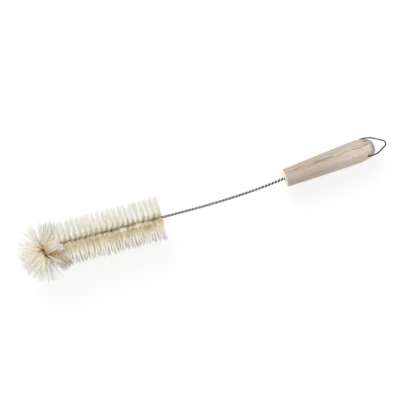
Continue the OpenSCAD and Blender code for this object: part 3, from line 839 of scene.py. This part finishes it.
def grow(name, groups, replaced, material, rng):
    """Many fine hairs, each a three-sided tube along its own line of points, narrowing to a point at its end.

    Each group has the points of its hairs in the frame, and their tints and browns. A ring's corners are
    p + r (cos a u + sin a v), where u and v lie across the straight line from the hair's root to its end.
    """
    line, tint, brown = (np.concatenate(part) for part in zip(*groups))
    thick = rng.uniform(*HAIR_R_UNEVEN, len(line))
    line = kept_inside(line)
    whole = unit(line[:, -1] - line[:, 0])
    u = unit(np.cross(whole, NO_HAIR_DIR))
    v = np.cross(whole, u)
    a = np.linspace(0, 2 * np.pi, HAIR_SIDES, endpoint=False)
    around = np.cos(a)[None, :, None] * u[:, None] + np.sin(a)[None, :, None] * v[:, None]
    radii = HAIR_R * MM * thick[:, None] * HAIR_TAPER
    rings = line[:, :-1, None] + radii[:, :, None, None] * around[:, None]
    points = np.concatenate([rings.reshape(len(line), -1, 3), line[:, -1:]], 1)
    piece = make_piece(name, points.reshape(-1, 3), hair_faces(len(line)), "brush", [replaced], material)
    along = np.concatenate([np.repeat(HAIR_STEPS[:-1], HAIR_SIDES), [1.0]])
    values = np.broadcast_arrays(along[None], tint[:, None], brown[:, None])
    add_values(piece, "hair", np.stack(values, -1).reshape(-1, 3))


def free_reach(p, dirs, whole):
    """How far hairs from p in their directions may grow before they would meet the core again.

    A stretch of core c is met where it is nearer than NEAR_WIRE to p + t d, with t the part of c - p along d.
    """
    ahead = CORE[None] - p[:, None]
    t = np.einsum("nmk,nk->nm", ahead, dirs)
    beside = np.linalg.norm(ahead - t[..., None] * dirs[:, None], axis=-1)
    blocked = np.where((t > PAST_ROOT) & (beside < NEAR_WIRE), t - STOPS_BEFORE, np.inf)
    return np.minimum(whole, blocked.min(1))


def hair_lines(own, own_dirs, tuft, tuft_dirs, reach, drift, curl):
    """Hairs that start at their own roots in their own directions and are drawn into their tufts.

    A hair's point at t is a mix of root + t reach d and of the same on its tuft's line plus t drift + t^2 curl, and
    the tuft's share is 1 - (1 - t)^2.
    """
    t = HAIR_STEPS[None, :, None]
    share = 1 - (1 - t) ** 2
    alone = own[:, None] + t * (reach[:, None] * own_dirs)[:, None]
    together = tuft[:, None] + t * (reach[:, None] * tuft_dirs + drift)[:, None] + t * t * curl[:, None]
    return to_frame(lerp(alone, together, share))


def spread_out(tufts):
    """For each hair, the number of its tuft and of its wisp."""
    hairs = np.arange(tufts * WISPS_PER_TUFT * HAIRS_PER_WISP)
    return hairs // (WISPS_PER_TUFT * HAIRS_PER_WISP), hairs // HAIRS_PER_WISP


def uneven(rng, tuft_of, wisp_of, by_tuft, by_wisp, by_hair):
    """A random number for each hair: a share that its tuft has in common, one of its wisp and one of its own."""
    return (by_tuft * rng.random(tuft_of[-1] + 1)[tuft_of] + by_wisp * rng.random(wisp_of[-1] + 1)[wisp_of]
            + by_hair * rng.random(len(tuft_of)))


def wander(rng, tuft_of, wisp_of, by_tuft, by_wisp, by_hair):
    """As uneven(), but a random vector for each hair, normally scattered."""
    return (rng.normal(0, by_tuft, (tuft_of[-1] + 1, 3))[tuft_of]
            + rng.normal(0, by_wisp, (wisp_of[-1] + 1, 3))[wisp_of] + rng.normal(0, by_hair, (len(tuft_of), 3)))


def on_core(rng, s):
    """Places in the clamped roots' thin ribbon at s."""
    p, _, up, side = core_at(s)
    return p + rng.uniform(-1, 1, len(s))[:, None] * ROOT_THICKNESS / 2 * strand_dir(up, side, twist(s))


# ---- The body's hairs ----

BODY_TUFTS_PER_TURN = 74
# How far a hair's root lies from its tuft's, as a share of the tufts' spacing.
ROOT_SCATTER = 0.6
# The body's hairs differ by their direction: from its +Y side to its -Y side, and from there up to its top. Each
# pair holds the part of a direction along -Y or Z at which a difference begins, and that at which it is full. The
# -Y side is worn. Its hairs gather in clumps, which fade towards the top. They are browner, and near the top
# browner and darker still, all of which is painted shade.
BELOW_FROM_TO, WORN_FROM_TO, BROWNER_FROM_TO = (-0.1, 0.6), (-0.3, 0.3), (-0.05, 0.2)
UNCLUMPED_FROM_TO, DARKER_TOP_FROM_TO, BROWNER_TOP_FROM_TO = (0.45, 0.92), (0.6, 0.95), (0.6, 0.97)
# The share of the tufts that is loose on the +Y side and on the -Y side, how many times BODY_TURNED loose and firm
# ones turn aside, and how many times BODY_LEAN they lean along the core.
LOOSE_ABOVE, LOOSE_BELOW = 0.6, 0.95
LOOSE_TURN_ABOVE, LOOSE_TURN_BELOW, FIRM_TURN = 3.2, 5.0, 0.8
LOOSE_LEAN, FIRM_LEAN, WORN_LEAN = 0.6, 0.4, 0.25
# The parting along the top: how far it pushes hairs aside, and how wide it is.
COMBED_ASIDE, COMBED_WIDTH = 0.2, 0.2
# A whole hair is this much longer than the body's radius, and the shortest is BODY_LOSS shorter than that.
BODY_EXTRA, BODY_LOSS, BODY_LOSS_POWER = 0.9, 5.5, 1.4
# Clumps: their spacing along the core, the degrees of a sector round it, and how many of each there are.
CLUMP_SPACING, CLUMP_SECTOR = 3.1, 45.0
CLUMP_SECTORS, CLUMPS, CLUMPS_BEFORE, CLUMP_UNEVEN = 8, 46, 1.0, 0.35
CLUMP_LENGTH_POWER, CLUMP_LENGTH_SHARE, CLUMPED_AT_TOP = 1.7, 0.5, 0.1
# How much of the way to the nearest clump hairs are pushed, and how much further their ends go.
FRAYED_PUSH, CLUMPED_PUSH, CLUMPED_END, PUSH_SCATTER = 0.4, 0.1, 0.72, 0.12
WORN_CURL = 0.5
# Tints, with painted light and shade: paler the more a hair points up, darker where loose and on the worn -Y side,
# most near its top, and evener where worn.
UPWARD_PAINTED_LIGHT, LOOSE_PAINTED_SHADE, WORN_EVENER, WORN_SIDE_PAINTED_SHADE = 0.45, 0.15, 0.6, (0.06, 0.2)
EVEN_TINT = 0.5
# Brown near the top, as painted shade: this much for each hair, and this much more for the shortest.
BROWN_NEAR_TOP, BROWN_OF_SHORT = 0.4, 0.45
# How they differ by tuft, by wisp and by hair: degrees round the core, then mm along it, lean, fraying and curl.
BODY_TURNED = 4.0, 5.0, 0.8
BODY_PUSHED = 1.0, 1.2, 2.8
BODY_LEAN = 0.8, 1.2, 0.16
BODY_FRAYED = 0.2, 0.9, 0.1
BODY_CURL = 0.0, 0.3, 0.12


def clumps():
    """Where along the core hair ends gather, and how short they are there, one row for each sector round the core.

    Clump i of a sector is at start + (i + its own uneven step + the sector's step) spacing, and the rows rise.
    """
    size = CLUMP_SECTORS, CLUMPS
    steps = (draws("clump steps").uniform(-CLUMP_UNEVEN, CLUMP_UNEVEN, size) * CLUMP_SPACING
             + np.arange(CLUMPS) * CLUMP_SPACING
             + draws("sector steps").random((CLUMP_SECTORS, 1)) * CLUMP_SPACING)
    shortness = draws("clump lengths").random(size) ** CLUMP_LENGTH_POWER
    return BRUSH_START - CLUMPS_BEFORE + np.sort(steps, 1), shortness


CLUMP_S, CLUMP_SHORTNESS = clumps()


def clump_at(s, dirs):
    """Place and shortness of the nearest clump, for hairs of the body at s in some directions."""
    sector = (np.degrees(np.arctan2(dirs[:, 1], dirs[:, 2])) // CLUMP_SECTOR).astype(int) % CLUMP_SECTORS
    nearest = np.abs(CLUMP_S[sector] - s[:, None]).argmin(1)
    return CLUMP_S[sector, nearest], CLUMP_SHORTNESS[sector, nearest]


def body_dirs(rng, tuft_of, wisp_of, middle, sign):
    """Directions of the body's tufts, how far each is on the lower -Y side, and whether it is loose.

    A tuft's direction turns round the core by a random angle, more where it is loose. Near the top it is combed
    away from the parting by a bell curve, exp(-(y / width)^2).
    """
    _, _, up, side = core_at(middle)
    below = smooth(*BELOW_FROM_TO, -(sign * bristle_dir(up, side, twist(middle)))[:, 1])
    loose = rng.random(tuft_of[-1] + 1)[tuft_of] < lerp(LOOSE_ABOVE, LOOSE_BELOW, below)
    angle = wander(rng, tuft_of, wisp_of, *BODY_TURNED)[:, 0] * np.where(
        loose, lerp(LOOSE_TURN_ABOVE, LOOSE_TURN_BELOW, below), FIRM_TURN)
    dirs = sign * bristle_dir(up, side, twist(middle) + angle)
    aside = COMBED_ASIDE * np.exp(-(dirs[:, 1:2] / COMBED_WIDTH) ** 2) * np.where(dirs[:, 2:] > 0, 1, 0)
    dirs = unit(dirs + aside * np.sign(dirs[:, 1:2]) * np.array([0.0, 1.0, 0.0]))
    return dirs, below, loose


def body_hairs(k):
    """One turn of the body: tufts follow each other round the twist on both sides, each of a few wisps of hairs.

    A hair is pushed along the core by a random way and a share of the way to the nearest clump, and its end goes on
    towards the clump where it is worn. Its length is the radius and an extra less a loss times a power of its
    shortness. Returns the hairs' points, and their tints and browns, which carry painted light and shade.
    """
    rng = draws("body hairs", k)
    first = BRUSH_START + (k - 1) * TURN_LENGTH
    tufts = BODY_TUFTS_PER_TURN * 2
    spacing = TURN_LENGTH / BODY_TUFTS_PER_TURN
    tuft_of, wisp_of = spread_out(tufts)
    mixed, scatter = (partial(f, rng, tuft_of, wisp_of) for f in (uneven, wander))
    middle = (first + (np.arange(tufts) // 2 + rng.random(tufts)) * spacing)[tuft_of]
    sign = np.where(tuft_of % 2, 1.0, -1.0)[:, None]
    s = np.clip(middle + rng.uniform(-ROOT_SCATTER, ROOT_SCATTER, len(tuft_of)) * spacing, first, first + TURN_LENGTH)
    p, along, up, side = core_at(s)
    dirs, below, loose = body_dirs(rng, tuft_of, wisp_of, middle, sign)
    to_side, upwards = -dirs[:, 1], dirs[:, 2]
    worn = smooth(*WORN_FROM_TO, to_side)
    clumped = worn * lerp(1.0, CLUMPED_AT_TOP, smooth(*UNCLUMPED_FROM_TO, upwards))

    pushed = worn * scatter(*BODY_PUSHED)[:, 0]
    clump_s, clump_shortness = clump_at(middle + pushed, dirs)
    to_clump = clump_s - middle - pushed
    shortness = (mixed(*SHORTNESS) * lerp(1.0, 1 - CLUMP_LENGTH_SHARE, worn)
                 + CLUMP_LENGTH_SHARE * worn * clump_shortness)
    whole = BODY_R + BODY_EXTRA - BODY_LOSS * shortness ** BODY_LOSS_POWER
    reach = free_reach(p, dirs, whole)
    lean = scatter(*BODY_LEAN)[:, :1] * (
        np.where(loose, LOOSE_LEAN, FIRM_LEAN) * lerp(1.0, WORN_LEAN, worn))[:, None] * along
    pushed = (pushed + (FRAYED_PUSH * (1 - worn) + CLUMPED_PUSH * clumped) * to_clump
              + rng.normal(0, PUSH_SCATTER, len(s)))
    pushed = np.maximum(pushed, BRUSH_START - middle)[:, None] * along
    gathered = (CLUMPED_END * clumped * to_clump + (1 - worn) * scatter(*BODY_FRAYED)[:, 0])[:, None] * along
    own_dirs = sign * bristle_dir(up, side, twist(s))
    lines = hair_lines(on_core(rng, s), own_dirs, core_at(middle)[0] + pushed, dirs, reach,
                       (reach / whole)[:, None] * lean,
                       gathered + scatter(*BODY_CURL) * lerp(1.0, WORN_CURL, worn)[:, None])

    # The tint paints light on hairs that point up, and shade on loose ones and on those of the worn -Y side.
    tint = (lerp(mixed(*TINT), EVEN_TINT, WORN_EVENER * worn) + UPWARD_PAINTED_LIGHT * upwards - LOOSE_PAINTED_SHADE * loose
            - worn * lerp(*WORN_SIDE_PAINTED_SHADE, smooth(*DARKER_TOP_FROM_TO, upwards)))
    # Painted shade: brown on the -Y side, and more of it near the top.
    near_top = smooth(*BROWNER_FROM_TO, to_side) * smooth(*BROWNER_TOP_FROM_TO, upwards)
    return lines, tint, below + (BROWN_NEAR_TOP + BROWN_OF_SHORT * shortness) * near_top


for k in range(1, BODY_TURNS + 1):
    grow(f"body_hair_{k}", [body_hairs(k)], f"body_bristles_{k}", BODY_HAIR,
         draws("body thickness", k))

# ---- The tip's hairs ----

TIP_TUFTS, TIP_TRIES = 190, 3
# Past the first of these from the ring's start the wire is the ring's, and before the second in line with the body.
IN_LINE_FROM_TO = 3.0, -5.0
# Scatter of the tip's tufts round the wire, in degrees, and along it, for the ring and for the wire in line.
TIP_TURNED, TIP_LEANT = (50.0, 20.0), (0.22, 0.06)
TIP_ROOT_SCATTER = 0.5
# Lengths as for the body's hairs, from TIP_BRISTLE.
TIP_EXTRA, TIP_LOSS, TIP_LOSS_POWER = 0.6, 6.5, 1.6
# How full the fan is at each angle from straight ahead, counted towards +Y in the brush's own plane.
FAN_FULLNESS = {-180: 0.03, -160: 0.03, -135: 0.25, -115: 0.6, -60: 0.75, 20: 1.1, 35: 0.4, 75: 0.2, 90: 0.25,
                110: 0.3, 150: 0.2, 180: 0.05}
FAN_UPRIGHT_FROM_TO, FAN_UPRIGHT = (0.5, 0.85), 0.1
# The chance that a tuft stays: on the ring, where the fan is full, and in line with the body, where only low ones do.
RING_KEPT, IN_LINE_KEPT, IN_LINE_LOW_FROM_TO = 0.5, 0.2, (0.6, 0.3)
TIP_DRIFT = 0.0, 1.3, 0.2
TIP_CURL = 0.0, 0.6, 0.15


def tip_fullness(dirs):
    """How many hairs the tip has in each direction: a full fan ahead and below, fewer beside it and straight up."""
    beside = np.degrees(np.arctan2(dirs[:, 1], -dirs[:, 0]))
    full = np.interp(beside, list(FAN_FULLNESS), list(FAN_FULLNESS.values()))
    return full * lerp(1.0, FAN_UPRIGHT, smooth(*FAN_UPRIGHT_FROM_TO, dirs[:, 2]))


def tip_hairs(k):
    """A quarter of the bent tip: tufts scattered in all directions across the wire, fuller in some than in others.

    More tufts are tried than are kept, and each stays with a chance of its own. Returns points, tints and browns.
    """
    rng = draws("tip hairs", k)
    first = BRUSH_END + (k - 1) * TIP_TURN_LENGTH
    tried = TIP_TUFTS * TIP_TRIES
    middle = first + (np.arange(tried) + rng.random(tried)) / tried * TIP_TURN_LENGTH
    sign = np.where(rng.random(tried) < 0.5, 1.0, -1.0)[:, None]
    in_line = smooth(*(RING_START + at for at in IN_LINE_FROM_TO), middle)
    turned = rng.normal(0, 1, tried) * lerp(*TIP_TURNED, in_line)
    tuft_p, tuft_along, tuft_up, tuft_side = core_at(middle)
    tuft_dirs = unit(sign * bristle_dir(tuft_up, tuft_side, twist(middle) + turned)
                     + (rng.normal(0, 1, tried) * lerp(*TIP_LEANT, in_line))[:, None] * tuft_along)
    chance = lerp(RING_KEPT * tip_fullness(tuft_dirs),
                  IN_LINE_KEPT * smooth(*IN_LINE_LOW_FROM_TO, tuft_dirs[:, 2]), in_line)
    keep = np.flatnonzero(rng.random(tried) < chance)
    tuft_of, wisp_of = spread_out(len(keep))
    mixed, scatter = (partial(f, rng, tuft_of, wisp_of) for f in (uneven, wander))
    t = keep[tuft_of]
    s = middle[t] + rng.uniform(-TIP_ROOT_SCATTER, TIP_ROOT_SCATTER, len(t))
    s = np.clip(s, first, first + TIP_TURN_LENGTH)
    p, _, up, side = core_at(s)
    own_dirs = sign[t] * bristle_dir(up, side, twist(s) + turned[t])
    whole = TIP_BRISTLE + TIP_EXTRA - TIP_LOSS * mixed(*SHORTNESS) ** TIP_LOSS_POWER
    reach = free_reach(p, tuft_dirs[t], whole)
    lines = hair_lines(on_core(rng, s), own_dirs, tuft_p[t], tuft_dirs[t], reach,
                       (reach / whole)[:, None] * scatter(*TIP_DRIFT), scatter(*TIP_CURL))
    return lines, mixed(*TINT), np.zeros(len(t))


# ---- The ring's hairs that the body pushes aside ----

# Scatter across the fan, in tufts, and of the roots round the ring, in degrees. The shortest lose SWEPT_LOSS of
# their length.
SWEPT_FAN_SCATTER, SWEPT_RING_SCATTER = 0.5, 4.0
SWEPT_LOSS, SWEPT_LOSS_POWER, SWEPT_BROWN_SPREAD = 0.38, 1.3, 0.9
SWEPT_SHORTNESS = 0.55, 0.35, 0.1
SWEPT_BROWN = 0.3, 0.6, 0.1
SWEPT_END_SCATTER = 1.2, 0.6, 0.3
SWEPT_TOP_SCATTER = 0.84, 0.36, 0.2


def swept_hairs(kind, tufts, ring, over, ends, longest, browns):
    """Hairs of the ring that the body pushes aside: each arches from its root over a place to its end.

    A hair's point at t is the Bezier curve (1 - t)^2 root + 2 t (1 - t) over + t^2 end. Roots go from one angle of
    the ring to another, and over and end each from the first of two places to the second, all across the fan.
    """
    rng = draws(kind)
    tuft_of, wisp_of = spread_out(tufts)
    mixed, scatter = (partial(f, rng, tuft_of, wisp_of) for f in (uneven, wander))
    across = (np.arange(tufts) + rng.random(tufts)) / tufts
    fan = np.clip(across[tuft_of] + rng.normal(0, SWEPT_FAN_SCATTER / tufts, len(tuft_of)), 0, 1)[:, None]
    angle = lerp(*ring, fan[:, 0]) + rng.normal(0, SWEPT_RING_SCATTER, len(tuft_of))
    root = on_core(rng, RING_START + RING_R * np.radians(angle))
    end = RING_CENTRE + lerp(*np.array(ends), fan) + scatter(*SWEPT_END_SCATTER)
    end = root + (end - root) * np.minimum(1, longest / np.linalg.norm(end - root, axis=1, keepdims=True))
    end = root + (end - root) * (1 - SWEPT_LOSS * mixed(*SWEPT_SHORTNESS)[:, None] ** SWEPT_LOSS_POWER)
    top = RING_CENTRE + lerp(*np.array(over), fan) + scatter(*SWEPT_TOP_SCATTER)
    t = HAIR_STEPS[None, :, None]
    lines = (1 - t) ** 2 * root[:, None] + 2 * t * (1 - t) * top[:, None] + t * t * end[:, None]
    brown = lerp(*browns, fan[:, 0]) + SWEPT_BROWN_SPREAD * mixed(*SWEPT_BROWN) - SWEPT_BROWN_SPREAD / 2
    return to_frame(lines), mixed(*TINT), brown


# The pieces of the tip that hold swept hairs. Angles are counted round the ring from its start, and places in mm
# from its centre.
SWEPT = {
    2: dict(kind="back sweep", tufts=60, ring=(35, 140), over=((9, 4.5, 14), (12, -3.5, 13)),
            ends=((22, 8.5, 18), (24, -4, 15)), longest=27.5, browns=(0.4, 0.4)),
    # The brown wedge's browns are painted shade within its dense tuft.
    3: dict(kind="brown wedge", tufts=120, ring=(165, 205), over=((16, 2, 24), (8, -14, 14)),
            ends=((32, -24, 12), (18, -28, 7)), longest=34.0, browns=(1.65, 0.75))}

for k in range(1, TIP_TURNS + 1):
    groups = [tip_hairs(k)] + ([swept_hairs(**SWEPT[k])] if k in SWEPT else [])
    grow(f"tip_hair_{k}", groups, f"tip_bristles_{k}", TIP_HAIR, draws("tip thickness", k))

# ---- The handle, which keeps its CAD shape ----

handle = frame["nodes"]["handle"].data
handle.materials.clear()
handle.materials.append(WOOD)

# ---- Camera ----

CAMERA_AZIMUTH, CAMERA_ELEVATION = np.radians((-16.3, 83.0))
CAMERA_DISTANCE = 2.1927
CAMERA_FOCAL_PX, FRAME_PX, SENSOR = 2000.0, 400.0, 36.0
LOOK_AT = np.array([-0.003745, 0.007591, 0.02])


def camera_matrix():
    """The camera's own X, Y and Z and its place as columns: Z from LOOK_AT towards it, X level, Y across both."""
    sin_az, cos_az = np.sin(CAMERA_AZIMUTH), np.cos(CAMERA_AZIMUTH)
    sin_el, cos_el = np.sin(CAMERA_ELEVATION), np.cos(CAMERA_ELEVATION)
    back = np.array([sin_az * cos_el, -cos_az * cos_el, sin_el])
    right = np.array([cos_az, sin_az, 0.0])
    columns = [right, np.cross(back, right), back, LOOK_AT + CAMERA_DISTANCE * back]
    return Matrix([*np.stack(columns, 1).tolist(), [0, 0, 0, 1]])


scene = bpy.context.scene
camera = bpy.data.objects.new("Camera", bpy.data.cameras.new("Camera"))
scene.collection.objects.link(camera)
camera.data.sensor_width = SENSOR
camera.data.lens = SENSOR * CAMERA_FOCAL_PX / FRAME_PX
camera.matrix_world = camera_matrix()
scene.camera = camera

# ---- Floor, world and lamps ----

FLOOR_HALF = 4.0
FLOOR_GREY = (0.9, 0.9, 0.9, 1)
# How much of the floor's own white shows instead of its light and shadow, where a camera, a gloss or glass sees it.
FLOOR_WHITE = 0.77
WORLD_LIGHT = 0.64


def floor_material():
    """A pale matt floor that is seen partly as plain white, so that the background stays even."""
    material, tree, shader = new_material("Pale_floor", 0.9, specular=0.1)
    shader.inputs["Base Color"].default_value = FLOOR_GREY
    path = tree.nodes.new("ShaderNodeLightPath")
    seen = calculate(tree, "ADD", path.outputs["Is Camera Ray"], path.outputs["Is Glossy Ray"])
    seen = calculate(tree, "ADD", seen, path.outputs["Is Transmission Ray"])
    white = tree.nodes.new("ShaderNodeEmission")
    shown = mixed_shaders(tree, calculate(tree, "MULTIPLY", seen, FLOOR_WHITE), shader, white)
    tree.links.new(shown.outputs[0], tree.nodes["Material Output"].inputs["Surface"])
    return material


floor_mesh = bpy.data.meshes.new("Floor")
floor_mesh.from_pydata([(x * FLOOR_HALF, y * FLOOR_HALF, 0) for x, y in ((-1, -1), (1, -1), (1, 1), (-1, 1))],
                       [], [(0, 1, 2, 3)])
floor_mesh.materials.append(floor_material())
floor = bpy.data.objects.new("Floor", floor_mesh)
scene.collection.objects.link(floor)

scene.world = bpy.data.worlds.new("Studio")
scene.world.use_nodes = True
background = scene.world.node_tree.nodes["Background"]
background.inputs["Strength"].default_value = WORLD_LIGHT
background.inputs["Color"].default_value = WHITE
scene.view_settings.view_transform = "Standard"


def lamp(name, at, size, power):
    """A square soft lamp at a place in metres, turned towards the frame's origin."""
    light = bpy.data.lights.new(name, "AREA")
    light.size = size
    light.energy = power
    lamp_object = bpy.data.objects.new(name, light)
    scene.collection.objects.link(lamp_object)
    lamp_object.location = at
    lamp_object.rotation_euler = Vector(at).to_track_quat("Z", "Y").to_euler()


lamp("Key", (-0.3, 1.9, 1.4), 1.6, 48)
lamp("Top", (0.1, -0.5, 2.2), 2.0, 10)
